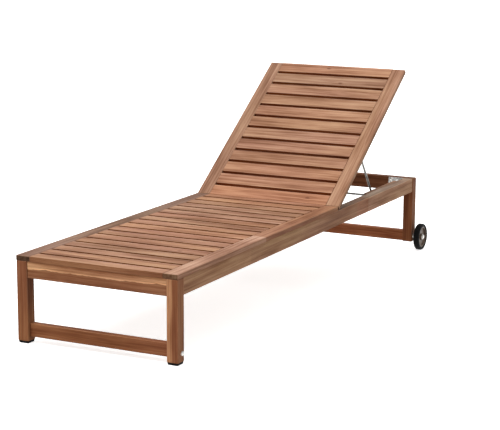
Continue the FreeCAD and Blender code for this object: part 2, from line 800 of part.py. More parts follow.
for item in doc.Objects:
    if "Invalid" in item.State or "Error" in item.State:
        raise RuntimeError("%s did not compute: %s" % (item.Label, item.State))
for piece in parts:
    if piece.Shape.isNull() or not piece.Shape.isValid():
        raise RuntimeError("%s has no valid shape" % piece.Label)

os.makedirs("parts", exist_ok=True)
for piece in parts:
    piece.Shape.exportStep(os.path.join("parts", piece.Label + ".step"))

hinge_point = FRAME.multVec(HINGE)
prop_point = PROP.Base
wheel_point = FRAME.multVec(Vector(wheel_inner, wheel_y, size("wheel_height")))
print("sub-parts", len(parts))
print("slope", slope)
print("hinge", tuple(hinge_point))
print("prop pivot", tuple(prop_point), "ratio", prop_ratio)
print("wheel", tuple(wheel_point))
print("glide", glide_x, FRAME.multVec(Vector(0, glide_y, -size("glide_height"))).y)
print("crossbar", prop_foot(size("recline_angle")))
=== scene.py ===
"""Looks of the reclining sun lounger: oiled hardwood, zinc-plated steel, rubber
tyres and moulded hubs, in a plain white studio.  Metres, in the CAD model's frame.
"""
import bpy
import bmesh
import json
import math
import random
from collections import namedtuple
from types import SimpleNamespace
from mathutils import Matrix, Vector

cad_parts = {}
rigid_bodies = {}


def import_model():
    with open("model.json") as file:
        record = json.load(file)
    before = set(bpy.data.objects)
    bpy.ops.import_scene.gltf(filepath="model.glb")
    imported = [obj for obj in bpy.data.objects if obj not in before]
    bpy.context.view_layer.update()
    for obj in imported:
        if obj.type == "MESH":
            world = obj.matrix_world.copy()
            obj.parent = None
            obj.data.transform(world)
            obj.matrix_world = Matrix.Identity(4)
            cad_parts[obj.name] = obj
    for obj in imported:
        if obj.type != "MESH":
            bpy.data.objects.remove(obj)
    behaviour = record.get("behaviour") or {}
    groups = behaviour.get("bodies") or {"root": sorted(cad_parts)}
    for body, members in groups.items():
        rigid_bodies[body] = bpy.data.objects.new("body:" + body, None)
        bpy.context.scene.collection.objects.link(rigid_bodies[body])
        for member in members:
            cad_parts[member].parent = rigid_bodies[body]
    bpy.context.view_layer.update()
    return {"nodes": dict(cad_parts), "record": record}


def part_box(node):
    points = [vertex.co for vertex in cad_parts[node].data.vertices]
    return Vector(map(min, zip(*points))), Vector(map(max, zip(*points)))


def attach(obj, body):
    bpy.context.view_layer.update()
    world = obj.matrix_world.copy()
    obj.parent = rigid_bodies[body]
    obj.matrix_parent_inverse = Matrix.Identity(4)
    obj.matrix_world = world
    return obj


for leftover in list(bpy.data.objects):
    bpy.data.objects.remove(leftover)
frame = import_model()
nodes = frame["nodes"]
body_of = {node: body for body, members in frame["record"]["behaviour"]["bodies"].items()
           for node in members}
slot_of = {part["node"]: part["material_slot"] for part in frame["record"]["subparts"]}

MM = 0.001
WHITE = (1.0, 1.0, 1.0, 1.0)
PAIRED_TIMBERS = ("seat_ledgers", "back_bearers", "prop_racks")


def srgb(red, green, blue):
    """A colour given as screen values 0 to 255, as linear RGBA."""
    linear = []
    for value in (red, green, blue):
        share = value / 255
        linear.append(share / 12.92 if share <= 0.04045 else ((share + 0.055) / 1.055) ** 2.4)
    return (*linear, 1.0)


# ---------------------------------------------------------------- node building
class Graph:
    """The node tree of a material or world, with one short call per node."""

    def __init__(self, owner):
        owner.use_nodes = True
        self.owner = owner
        self.tree = owner.node_tree
        self.tree.nodes.clear()

    def node(self, kind, inputs=None, **settings):
        made = self.tree.nodes.new(kind)
        for key, value in settings.items():
            setattr(made, key, value)
        for key, value in (inputs or {}).items():
            self.feed(made.inputs[key], value)
        return made

    def feed(self, socket, value):
        if isinstance(value, bpy.types.NodeSocket):
            self.tree.links.new(value, socket)
        else:
            socket.default_value = value

    def math(self, operation, *values):
        made = self.node("ShaderNodeMath", operation=operation)
        for index, value in enumerate(values):
            self.feed(made.inputs[index], value)
        return made.outputs[0]

    def inverse(self, value):
        return self.math("SUBTRACT", 1.0, value)

    def vector(self, operation, *values):
        made = self.node("ShaderNodeVectorMath", operation=operation)
        for index, value in enumerate(values):
            self.feed(made.inputs[index], value)
        return made.outputs[1 if operation in ("DOT_PRODUCT", "LENGTH") else 0]

    def combine(self, x, y, z):
        return self.node("ShaderNodeCombineXYZ", {0: x, 1: y, 2: z}).outputs[0]

    def separate(self, vector):
        return self.node("ShaderNodeSeparateXYZ", {0: vector}).outputs

    def noise_node(self, place, stretch, detail, roughness):
        scaled = self.vector("MULTIPLY", place, stretch)
        return self.node("ShaderNodeTexNoise", {
            "Vector": scaled, "Scale": 1.0, "Detail": detail, "Roughness": roughness})

    def noise(self, place, stretch, detail=2.0, roughness=0.5):
        """Noise from 0 to 1 with that many features per metre along each axis."""
        return self.noise_node(place, stretch, detail, roughness).outputs["Fac"]

    def swirl(self, place, stretch, detail=2.0, roughness=0.5):
        """Three noises from 0 to 1, as one vector."""
        return self.noise_node(place, stretch, detail, roughness).outputs["Color"]

    def smooth(self, value, low, high):
        """0 below low, 1 above high, and a soft step between."""
        return self.node("ShaderNodeMapRange", {
            "Value": value, "From Min": low, "From Max": high},
            interpolation_type="SMOOTHSTEP").outputs[0]

    def spread(self, value, low, high, new_low, new_high):
        return self.node("ShaderNodeMapRange", {
            "Value": value, "From Min": low, "From Max": high,
            "To Min": new_low, "To Max": new_high}).outputs[0]

    def mix(self, share, first, second, blend="MIX"):
        made = self.node("ShaderNodeMix", {0: share, 6: first, 7: second},
                         data_type="RGBA", blend_type=blend)
        return made.outputs[2]

    def tint(self, share, colour, factors):
        """The colour multiplied by the factors, as far as share says."""
        return self.mix(share, colour, factors, "MULTIPLY")

    def ramp(self, value, *stops):
        made = self.node("ShaderNodeValToRGB", {"Fac": value})
        while len(made.color_ramp.elements) < len(stops):
            made.color_ramp.elements.new(0.5)
        for element, (position, colour) in zip(made.color_ramp.elements, stops):
            element.position = position
            element.color = colour
        return made.outputs["Color"]

    def place(self):
        return self.node("ShaderNodeTexCoord").outputs["Object"]

    def surface(self, colour, roughness, height, depth, metallic=0.0, specular=0.5,
                strength=1.0, glow=0.0):
        """Ends the tree in a principled shader with a bump of that depth in metres."""
        bump = self.node("ShaderNodeBump", {
            "Height": height, "Distance": depth, "Strength": strength})
        shader = self.node("ShaderNodeBsdfPrincipled", {
            "Base Color": colour, "Roughness": roughness, "Metallic": metallic,
            "Specular IOR Level": specular, "Normal": bump.outputs[0],
            "Emission Color": WHITE, "Emission Strength": glow})
        self.node("ShaderNodeOutputMaterial", {"Surface": shader.outputs[0]})
        return self.owner


def new_material(name):
    return Graph(bpy.data.materials.new(name))


# ---------------------------------------------------------------- wood
WOOD_DARK = srgb(120, 79, 53)
WOOD_MID = srgb(159, 118, 92)
WOOD_LIGHT = srgb(187, 149, 121)
WOOD_PORE = srgb(84, 50, 32)
WOOD_WORN = srgb(206, 168, 140)
WOOD_KNOT = srgb(96, 55, 38)

# tints multiply the wood's colour
PLAIN = (1.0, 1.0, 1.0, 1.0)
YELLOWISH = (1.02, 1.00, 0.93, 1.0)
PINKISH = (1.0, 0.94, 0.97, 1.0)
RING_TINT = (0.62, 0.50, 0.42, 1.0)
END_GRAIN_TINT = (0.48, 0.47, 0.40, 1.0)
# painted shade: the slats' sawn sides are darkened so that the gaps between slats look
# shaded; the seat slats' sides are darkest and the foremost seat slat's are lightest
SEAT_SIDE_SHADE = (0.42, 0.25, 0.11, 1.0)      # sawn sides of the seat slats
BACK_SIDE_SHADE = (0.68, 0.37, 0.13, 1.0)      # sawn sides of the back slats
FRONT_SLAT_SIDE_SHADE = (0.84, 0.71, 0.60, 1.0)     # sides of the foremost seat slat
WEATHERED_TINT = (0.82, 0.93, 1.02, 1.0)      # tops of the side rails
APRON_SAP_TINT = (2.0, 2.5, 2.8, 1.0)
APRON_LINE_TINT = (1.35, 1.35, 1.30, 1.0)
LEG_SAP_TINT = (1.7, 2.15, 2.4, 1.0)

RING_SPACING = 7 * MM
RING_SPACING_RANGE = (0.8, 1.5)               # as shares of the spacing
PITH_ASIDE = 60               # the pith's farthest offset across the timber, in mm
PITH_DEPTHS = (50, 110)       # its offset through the thickness, in mm
MOST_LEAN = 0.05              # the grain's steepest slope against the timber
NOISE_OFFSET = 40             # metres, so that no two timbers share a pattern
SWAY = 16 * MM                # how far the fibres wander
RING_STRENGTH = 0.15
PORE_STRENGTH = 0.30
KNOT_STRENGTH = 0.75
EDGE_WEAR = 2.2 * MM          # how far the wear reaches in from an edge
TIMBER_WEAR = 0.25
SLAT_WEAR = 0.04
APRON_SAP_BORDER = (-1.0 * MM, 9.0 * MM)      # above the apron's middle
LEG_SAP_WIDTH = (17.0 * MM, 20.5 * MM)
WOOD_ROUGHNESS = (0.58, 0.72)
WOOD_SPECULAR = 0.10

# how squarely a face looks along an axis where its tint starts and where it is whole
FACE_ON = (0.60, 0.90)
END_ON = (0.55, 0.85)

# value and warmth (above 1 is redder, below 1 greyer) of most pieces
ORDINARY_VALUES = (0.94, 1.06)
ORDINARY_WARMTHS = (0.96, 1.05)
# and of the pieces that stand out, partly their own tone and partly painted shade: the low
# values and high warmths of the legs, the apron, the stretchers and the cross rails darken
# and warm the pieces that face the front or sit under the seat, where less light falls
PIECE_TONES_AND_PAINTED_SHADE = {
    "back_stile_right": (0.99, 0.97),
    "back_stile_left": (0.92, 0.95),
    "back_slat_01": (1.00, 1.10),
    "back_slat_11": (0.92, 0.95),
    "back_slat_12": (1.03, 1.02),
    "deck_board_left": (0.60, 0.92),
    "deck_board_right": (1.02, 0.98),
    "side_rail_right": (1.10, 0.95),
    "side_rail_left": (1.10, 0.95),
    "front_leg_right": (0.75, 1.26),
    "front_leg_left": (0.72, 1.26),
    "front_apron": (0.80, 1.18),
    "front_stretcher": (0.63, 1.33),
    "rear_leg_right": (0.63, 1.33),
    "rear_leg_left": (0.63, 1.33),
    "rear_stretcher": (0.88, 1.36),
    "rear_cross_rail": (0.44, 1.32),
    "middle_cross_rail": (0.60, 1.20),
}

# timbers joined from shorter lengths: the first tint, then where each next length
# begins, as Y in metres, and its tint; the right deck board's pale, bluish front length is a
# painted sheen
LENGTH_TINTS_AND_SHEEN = {
    # painted sheen: the front length is paler and bluer
    "deck_board_right": ((1.18, 1.30, 1.40, 1.0), (-0.413, (0.84, 0.76, 0.68, 1.0))),
    "deck_board_left": ((1.05, 1.03, 1.02, 1.0), (-0.38, (0.92, 0.90, 0.90, 1.0))),
    "side_rail_right": ((1.12, 1.19, 1.10, 1.0), (-0.52, (1.04, 1.09, 1.02, 1.0)),
                        (0.37, (1.10, 1.06, 1.02, 1.0)), (0.48, (1.26, 1.40, 1.50, 1.0))),
    "side_rail_left": (PLAIN, (0.10, (1.08, 1.02, 0.98, 1.0))),
}

# timbers whose +X face is painted lighter or darker, and the tint of that face: painted light
# on the right stile and the right front leg, painted shade on the left front leg's inner face
# under the seat and on the right rear leg's face beside the wheel
RIGHT_FACE_LIGHT_AND_SHADE = {
    "back_stile_right": (1.22, 1.38, 1.48, 1.0),
    "front_leg_right": (1.02, 1.18, 1.32, 1.0),
    "front_leg_left": (0.80, 0.84, 0.88, 1.0),
    "rear_leg_right": (0.80, 0.86, 0.90, 1.0),
}

# knots: how far along and across from the middle of the face, in metres
KNOTS = {
    "back_slat_01": (0.156, 0.003),
    "back_slat_12": (-0.028, 0.006),
    "back_slat_11": (0.052, -0.012),
    "seat_slat_14": (-0.115, 0.004),
    "seat_slat_05": (0.140, -0.008),
    "rear_stretcher": (-0.120, 0.004),
}
KNOT_LENGTH = 11 * MM
KNOT_WIDTH = 5 * MM
KNOT_PUSH = 3.2 * MM          # how far a knot pushes the fibres beside it


def is_slat(name):
    return name.startswith(("seat_slat", "back_slat"))


def pointing_up(axis):
    """The axis or its opposite, whichever has its largest component positive."""
    largest = max(axis, key=abs)
    return -axis if largest < 0 else axis


def timber_axes(mesh):
    """Directions along the grain, across it and through the thickness.

    The two normals with the most area are those of the long faces.
    """
    areas = {}
    for face in mesh.polygons:
        normal = face.normal
        for known in areas:
            if abs(normal.dot(known)) > 0.999:
                areas[known] += face.area
                break
        else:
            areas[normal.copy().freeze()] = face.area
    ranked = sorted(areas, key=areas.get, reverse=True)
    thick = ranked[0].normalized()
    side = next(other for other in ranked[1:] if abs(other.dot(thick)) < 0.8)
    along = thick.cross(side).normalized()
    across = thick.cross(along).normalized()
    return pointing_up(along), pointing_up(across), pointing_up(thick)


def extent(mesh, axis, one_side):
    """Lowest and highest reach along an axis, of the whole mesh or its +X half."""
    reach = [v.co.dot(axis) for v in mesh.vertices if v.co.x > 0 or not one_side]
    return min(reach), max(reach)


def local_frame(g, mesh, axes, position, one_side):
    """Distances from the timber's middle along its axes, and in from its faces."""
    local, gaps = [], []
    for axis in axes:
        low, high = extent(mesh, axis, one_side)
        distance = g.math("SUBTRACT", g.vector("DOT_PRODUCT", position, axis),
                          (low + high) / 2)
        local.append(distance)
        gaps.append(g.math("SUBTRACT", (high - low) / 2, g.math("ABSOLUTE", distance)))
    return local, gaps


def knot_distance(g, name, local):
    """0 at a knot's heart and 1 at its rim, and the same across the grain alone."""
    at_along, at_across = KNOTS[name]
    off_along = g.math("DIVIDE", g.math("SUBTRACT", local[0], at_along), KNOT_LENGTH)
    off_across = g.math("DIVIDE", g.math("SUBTRACT", local[1], at_across), KNOT_WIDTH)
    return g.vector("LENGTH", g.combine(off_along, off_across, 0.0)), off_across


def growth_rings(g, dice, local, sway):
    """Rings about a pith outside the timber: 0 in spring, rising to 1 in autumn."""
    pith = (0.0, dice.uniform(-PITH_ASIDE, PITH_ASIDE) * MM,
            dice.choice((-1, 1)) * dice.uniform(*PITH_DEPTHS) * MM)
    lean = dice.uniform(-MOST_LEAN, MOST_LEAN)
    swayed = g.vector("ADD", g.combine(*local), sway)
    leaning = g.vector("ADD", swayed, g.combine(0.0, g.math("MULTIPLY", local[0], lean), 0.0))
    from_pith = g.vector("MULTIPLY", g.vector("SUBTRACT", leaning, pith), (0.0, 1.0, 1.0))
    radius = g.vector("LENGTH", from_pith)
    spacing = RING_SPACING * dice.uniform(*RING_SPACING_RANGE)
    phase = g.math("FRACT", g.math("DIVIDE", radius, spacing))
    return g.math("POWER", phase, 2.2)


def wood_figure(g, name, dice, local):
    """The timber's patterns, each from 0 to 1; knot is None where there is none.

    Noise is stretched along the grain, then across it, then through the thickness.
    """
    seed = tuple(dice.uniform(-NOISE_OFFSET, NOISE_OFFSET) for _ in range(3))
    grain = g.vector("ADD", g.combine(*local), seed)
    warp = g.vector("SUBTRACT", g.swirl(grain, (2.2, 11.0, 11.0)), (0.5, 0.5, 0.5))
    sway = g.vector("MULTIPLY", warp, (0.0, SWAY, SWAY))
    if name in KNOTS:
        from_knot, side_of_knot = knot_distance(g, name, local)
        bulge = g.inverse(g.smooth(from_knot, 0.6, 3.4))
        push = g.math("MULTIPLY", g.math("MULTIPLY", bulge, side_of_knot), -KNOT_PUSH)
        sway = g.vector("ADD", sway, g.combine(0.0, push, 0.0))
    fibre = g.vector("ADD", grain, sway)

    streak = g.noise(fibre, (2.4, 115.0, 115.0), 3.0, 0.55)
    cloud = g.noise(grain, (4.5, 20.0, 20.0))
    fine = g.noise(fibre, (7.0, 520.0, 520.0), 2.0, 0.6)
    pores = g.smooth(g.noise(fibre, (42.0, 1500.0, 1500.0), 1.0), 0.60, 0.74)
    ring = growth_rings(g, dice, local, sway)
    tone = g.math("ADD", g.math("MULTIPLY", streak, 0.42), g.math("MULTIPLY", cloud, 0.38))
    tone = g.math("ADD", tone, g.math("MULTIPLY", fine, 0.20))
    hue = g.smooth(g.noise(grain, (1.6, 7.0, 7.0)), 0.34, 0.66)
    knot = None
    if name in KNOTS:
        ragged = g.math("ADD", from_knot, g.spread(fine, 0.3, 0.7, -0.2, 0.2))
        knot = g.inverse(g.smooth(ragged, 0.35, 1.15))
    return SimpleNamespace(streak=streak, cloud=cloud, fine=fine, pores=pores, ring=ring,
                           tone=tone, hue=hue, knot=knot)


def tint_lengths_and_sheen(g, name, colour, position):
    """Tints each length of a timber that is joined from several, and paints a sheen on the
    right deck board's front length.
    """
    tint, *rest = LENGTH_TINTS_AND_SHEEN[name]
    y = g.separate(position)[1]
    for begins, following in rest:
        tint = g.mix(g.smooth(y, begins - 1 * MM, begins + 1 * MM), tint, following)
    return g.tint(1.0, colour, tint)


def apron_sapwood(g, colour, local, cloud):
    """A pale band along the apron's upper half, with a wavy bright lower border."""
    wave = g.noise(g.combine(local[0], 0.0, 0.0), (6.5, 1.0, 1.0), 4.0, 0.6)
    border = g.spread(wave, 0.35, 0.65, *APRON_SAP_BORDER)
    above = g.math("SUBTRACT", local[1], border)
    fading = g.spread(local[1], 0.0, 22 * MM, 1.0, 0.85)
    band = g.math("MULTIPLY", g.smooth(above, -1.5 * MM, 1.5 * MM), fading)
    colour = g.tint(band, colour, APRON_SAP_TINT)
    off_border = g.math("ABSOLUTE", g.math("SUBTRACT", above, 2.0 * MM))
    line = g.inverse(g.smooth(off_border, 0.3 * MM, 2.2 * MM))
    line = g.math("MULTIPLY", line, g.smooth(cloud, 0.40, 0.60))
    return g.tint(line, colour, APRON_LINE_TINT)


def leg_sapwood(g, name, colour, position, cloud):
    """Pale wood over the leg's -X half."""
    left_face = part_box(name)[0].x
    width = g.spread(cloud, 0.3, 0.7, *LEG_SAP_WIDTH)
    within = g.math("SUBTRACT", width, g.math("SUBTRACT", g.separate(position)[0], left_face))
    return g.tint(g.smooth(within, -1.0 * MM, 1.0 * MM), colour, LEG_SAP_TINT)


def wood_colour(g, name, dice, figure, position, local):
    """The colour all through the timber, before its faces and edges, with painted shade on
    some whole pieces and a painted sheen on the front length of the right deck board.
    """
    colour = g.ramp(figure.tone, (0.38, WOOD_DARK), (0.50, WOOD_MID), (0.63, WOOD_LIGHT))
    colour = g.tint(1.0, colour, g.mix(figure.hue, YELLOWISH, PINKISH))
    ordinary = (dice.uniform(*ORDINARY_VALUES), dice.uniform(*ORDINARY_WARMTHS))
    # painted shade on the front-facing and under-seat pieces, the pieces' own tone elsewhere
    value, warmth = PIECE_TONES_AND_PAINTED_SHADE.get(name, ordinary)
    colour = g.tint(1.0, colour, (value * warmth, value, value / warmth, 1.0))
    # the joined lengths' tints, and a painted sheen on the right deck board
    if name in LENGTH_TINTS_AND_SHEEN:
        colour = tint_lengths_and_sheen(g, name, colour, position)
    if name == "front_apron":
        colour = apron_sapwood(g, colour, local, figure.cloud)
    if name == "front_leg_right":
        colour = leg_sapwood(g, name, colour, position, figure.cloud)
    colour = g.tint(g.math("MULTIPLY", figure.ring, RING_STRENGTH), colour, RING_TINT)
    colour = g.mix(g.math("MULTIPLY", figure.pores, PORE_STRENGTH), colour, WOOD_PORE)
    if figure.knot is not None:
        colour = g.mix(g.math("MULTIPLY", figure.knot, KNOT_STRENGTH), colour, WOOD_KNOT)
    return colour


def slat_side_shade(name):
    if name == "seat_slat_01":
        return FRONT_SLAT_SIDE_SHADE
    return SEAT_SIDE_SHADE if name.startswith("seat_slat") else BACK_SIDE_SHADE


def tint_faces(g, name, colour, normal, across):
    """Paints shade on the slats' sides in the gaps, painted light or shade on the +X face of
    a few timbers, and tints the rails' weathered tops.
    """
    # painted shade on the slats' sides, where the gaps between them are
    if is_slat(name):
        facing = g.math("ABSOLUTE", g.vector("DOT_PRODUCT", normal, across))
        colour = g.tint(g.smooth(facing, *FACE_ON), colour, slat_side_shade(name))
    # painted light or shade on one side of a few timbers
    if name in RIGHT_FACE_LIGHT_AND_SHADE:
        right = g.smooth(g.separate(normal)[0], *FACE_ON)
        colour = g.tint(right, colour, RIGHT_FACE_LIGHT_AND_SHADE[name])
    if name.startswith("side_rail"):
        top = g.smooth(g.separate(normal)[2], *FACE_ON)
        colour = g.tint(top, colour, WEATHERED_TINT)
    return colour


def worn_edges(g, gaps, cloud):
    """1 at the timber's edges, fading out over a few uneven millimetres."""
    nearest = g.math("MINIMUM", gaps[1], gaps[2])
    farther = g.math("MAXIMUM", gaps[1], gaps[2])
    second = g.math("MAXIMUM", nearest, g.math("MINIMUM", farther, gaps[0]))
    uneven = g.math("ADD", second, g.spread(cloud, 0.3, 0.7, -1.0 * MM, 1.0 * MM))
    return g.inverse(g.smooth(uneven, 0.0, EDGE_WEAR))


def wood_material(name, mesh):
    """Solid wood for one timber: rings, streaks, pores, end grain and worn edges."""
    dice = random.Random("lounger " + name)
    along, across, thick = timber_axes(mesh)
    g = new_material("wood_" + name)
    coordinates = g.node("ShaderNodeTexCoord").outputs
    position, normal = coordinates["Object"], coordinates["Normal"]
    paired = name in PAIRED_TIMBERS
    if paired:
        x, y, z = g.separate(position)
        position = g.combine(g.math("ABSOLUTE", x), y, z)
    local, gaps = local_frame(g, mesh, (along, across, thick), position, paired)
    figure = wood_figure(g, name, dice, local)

    colour = wood_colour(g, name, dice, figure, position, local)
    facing = g.math("ABSOLUTE", g.vector("DOT_PRODUCT", normal, along))
    end_grain = g.smooth(facing, *END_ON)
    colour = g.tint(end_grain, colour, END_GRAIN_TINT)
    colour = tint_faces(g, name, colour, normal, across)
    wear = SLAT_WEAR if is_slat(name) else TIMBER_WEAR
    worn = g.math("MULTIPLY", worn_edges(g, gaps, figure.cloud), wear)
    colour = g.mix(worn, colour, WOOD_WORN)

    roughness = g.math("ADD", g.spread(figure.streak, 0.3, 0.7, *WOOD_ROUGHNESS),
                       g.math("MULTIPLY", end_grain, 0.15))
    height = g.math("ADD", g.math("MULTIPLY", figure.fine, 0.6),
                    g.math("MULTIPLY", figure.ring, 0.25))
    height = g.math("SUBTRACT", height, g.math("MULTIPLY", figure.pores, 0.5))
    return g.surface(colour, roughness, height, 0.25 * MM, specular=WOOD_SPECULAR,
                     strength=0.6)


# ---------------------------------------------------------------- metal, rubber, plastic
ZINC = srgb(222, 221, 216)
ZINC_DARK = srgb(150, 151, 150)
ROD_ZINC = srgb(132, 132, 128)
ROD_ZINC_DARK = srgb(88, 89, 88)
PLATE_SPANGLE = 220.0         # zinc crystals per metre
ROD_SPANGLE = 500.0
RUBBER = srgb(9, 9, 10)
RUBBER_DUSTY = srgb(24, 23, 22)
TYRE_RINGS = (0.83, 0.90)     # moulded rings, as shares of the tyre's radius
HUB = srgb(106, 88, 74)
HUB_DARK = srgb(80, 66, 56)
HUB_SCUFF = srgb(150, 138, 128)


def zinc_material(name, spangle, bright, dark):
    """Zinc-plated steel: faint crystal patches, fine scratches and duller spots."""
    g = new_material(name)
    place = g.place()
    crystals = g.node("ShaderNodeTexVoronoi", {"Vector": place, "Scale": spangle})
    patches = g.node("ShaderNodeRGBToBW", {0: crystals.outputs["Color"]}).outputs[0]
    dull = g.noise(place, (60.0, 60.0, 60.0), 3.0)
    scratches = g.smooth(g.noise(place, (900.0, 60.0, 900.0), 1.0), 0.60, 0.75)
    tone = g.math("ADD", g.math("MULTIPLY", patches, 0.35), g.math("MULTIPLY", dull, 0.65))
    colour = g.ramp(tone, (0.35, dark), (0.60, bright))
    roughness = g.math("ADD", g.spread(tone, 0.2, 0.8, 0.46, 0.30),
                       g.math("MULTIPLY", scratches, 0.10))
    height = g.math("SUBTRACT", dull, g.math("MULTIPLY", scratches, 0.5))
    return g.surface(colour, roughness, height, 0.1 * MM, metallic=1.0, strength=0.5)


def rubber_material(name, centre, rings):
    """Black moulded rubber, a little dusty, with a raised ring at each of those radii."""
    g = new_material(name)
    place = g.place()
    dust = g.noise(place, (120.0, 120.0, 120.0), 4.0, 0.65)
    mould = g.noise(place, (1400.0, 1400.0, 1400.0))
    colour = g.mix(g.smooth(dust, 0.45, 0.85), RUBBER, RUBBER_DUSTY)
    roughness = g.spread(dust, 0.2, 0.8, 0.50, 0.75)
    height = g.math("MULTIPLY", mould, 0.2)
    if rings:
        spoke = g.vector("MULTIPLY", g.vector("SUBTRACT", place, centre), (0.0, 1.0, 1.0))
        radius = g.vector("LENGTH", spoke)
        for ring in rings:
            off = g.math("ABSOLUTE", g.math("SUBTRACT", radius, ring))
            height = g.math("ADD", height, g.inverse(g.smooth(off, 0.2 * MM, 0.9 * MM)))
    return g.surface(colour, roughness, height, 0.3 * MM, specular=0.08, strength=0.8)


def tyre_material(name):
    """The tyre's rubber, with rings about its own middle."""
    low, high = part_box(name)
    radius = (high.z - low.z) / 2
    rings = tuple(radius * share for share in TYRE_RINGS)
    return rubber_material("rubber_" + name, tuple((low + high) / 2), rings)


def hub_material(name):
    """Grey-brown moulded plastic with a fine texture and slight scuffs."""
    g = new_material(name)
    place = g.place()
    cloud = g.noise(place, (45.0, 45.0, 45.0), 3.0)
    grit = g.noise(place, (1100.0, 1100.0, 1100.0))
    scuff = g.smooth(g.noise(place, (700.0, 90.0, 160.0)), 0.62, 0.75)
    colour = g.mix(g.smooth(cloud, 0.3, 0.7), HUB_DARK, HUB)
    colour = g.mix(g.math("MULTIPLY", scuff, 0.25), colour, HUB_SCUFF)
    roughness = g.spread(grit, 0.2, 0.8, 0.36, 0.52)
    return g.surface(colour, roughness, grit, 0.08 * MM, strength=0.6)


# ---------------------------------------------------------------- CAD nodes
BEVELS = {"wood": 2.0 * MM, "steel": 0.5 * MM, "tyre": 1.5 * MM, "hub": 0.8 * MM,
          "rubber": 1.6 * MM}
NODE_BEVELS = {"front_leg_left": 3.0 * MM, "front_leg_right": 3.0 * MM,
               "rear_leg_left": 3.0 * MM, "rear_leg_right": 3.0 * MM,
               "prop_racks": 1.0 * MM, "back_bearers": 1.2 * MM, "seat_ledgers": 1.5 * MM}
SLAT_BEVEL = 0.5 * MM
UNBEVELLED = ("prop_bail",)
BEVEL_SEGMENTS = 3
WELD_DISTANCE = 0.01 * MM
SHARP_ANGLE = math.radians(35)
FLAT_ANGLE = math.radians(0.5)


def bevel_width(name):
    """Width of the node's bevels, or 0 where it has none."""
    if name in UNBEVELLED:
        return 0.0
    if is_slat(name):
        return SLAT_BEVEL
    return NODE_BEVELS.get(name, BEVELS[slot_of[name]])


def soften(obj, width):
    """Rounds the edges with modifiers, after joining the imported triangles."""
    mesh = obj.data
    with bpy.context.temp_override(object=obj, active_object=obj, selected_objects=[obj]):
        bpy.ops.mesh.customdata_custom_splitnormals_clear()
    mesh.polygons.foreach_set("use_smooth", [True] * len(mesh.polygons))
    weld = obj.modifiers.new("weld", "WELD")
    weld.merge_threshold = WELD_DISTANCE
    if not width:
        return
    flat = obj.modifiers.new("flat_faces", "DECIMATE")
    flat.decimate_type = "DISSOLVE"
    flat.angle_limit = FLAT_ANGLE
    bevel = obj.modifiers.new("soft_edges", "BEVEL")
    bevel.width = width
    bevel.segments = BEVEL_SEGMENTS
    bevel.limit_method = "ANGLE"
    bevel.angle_limit = SHARP_ANGLE
    bevel.use_clamp_overlap = True
    bevel.harden_normals = True
    shading = obj.modifiers.new("shading", "WEIGHTED_NORMAL")
    shading.keep_sharp = True


def dress_nodes():
    """Gives every CAD node its material and edges; returns the zinc and the rubber."""
    zinc = zinc_material("zinc_plate", PLATE_SPANGLE, ZINC, ZINC_DARK)
    rod = zinc_material("zinc_rod", ROD_SPANGLE, ROD_ZINC, ROD_ZINC_DARK)
    glide = rubber_material("glide_rubber", None, ())
    shared = {"steel": zinc, "hub": hub_material("hub_plastic"), "rubber": glide}
    for name, obj in nodes.items():
        slot = slot_of[name]
        if slot == "wood":
            material = wood_material(name, obj.data)
        elif slot == "tyre":
            material = tyre_material(name)
        elif name == "prop_bail":
            material = rod
        else:
            material = shared[slot]
        obj.data.materials.clear()
        obj.data.materials.append(material)
        soften(obj, bevel_width(name))
    return zinc, glide


# ---------------------------------------------------------------- fasteners
def hexagon(angle):
    """Radius of a hexagon with unit corners, in that direction."""
    part = (angle + math.pi / 6) % (math.pi / 3) - math.pi / 6
    return math.cos(math.pi / 6) / math.cos(part)


def cross(angle):
    """Radius of a rounded four-armed cross with unit arms, in that direction."""
    return 0.34 + 0.66 * abs(math.cos(2 * angle)) ** 5


def circle(_angle):
    return 1.0


# sizes of a head and of the socket in it, and the socket's outline
Head = namedtuple("Head", "radius height socket outline")
BOLT = Head(7.7 * MM, 4.3 * MM, 2.9 * MM, hexagon)
SLAT_SCREW = Head(3.9 * MM, 1.3 * MM, 2.6 * MM, cross)
BRACKET_SCREW = Head(3.8 * MM, 2.2 * MM, 2.3 * MM, cross)
# a thin black disc that paints the shade inside one of the bracket's holes
HOLE_SHADE_DISC = Head(2.3 * MM, 0.15 * MM, 0.8 * MM, circle)

# from the foot to the crown, as shares of the head's radius and height
DOME_PROFILE = ((1.0, 0.0), (1.0, 0.35), (0.93, 0.70), (0.74, 0.93), (0.55, 1.0))
# from the rim to the floor, as shares of the socket's radius and the head's height
SOCKET_PROFILE = ((1.0, 1.0), (0.94, 0.30))
HEAD_STEPS = 24
CRISP_ANGLE = math.radians(50)

BOLT_SEAT = 4.0 * MM           # from a CAD bolt's outer face in to the new head's foot
BRACKET_PLATE = 2.5 * MM       # thickness of the corner brackets
SCREW_SHARES = (0.32, 0.74)    # places along a bracket's flange, as shares of it
SCREW_LEVELS = (0.0,)          # heights above the flange's middle
HOLE_SHARES = (0.20, 0.53, 0.90)
HOLE_LEVELS = (-5.5 * MM, 5.5 * MM)


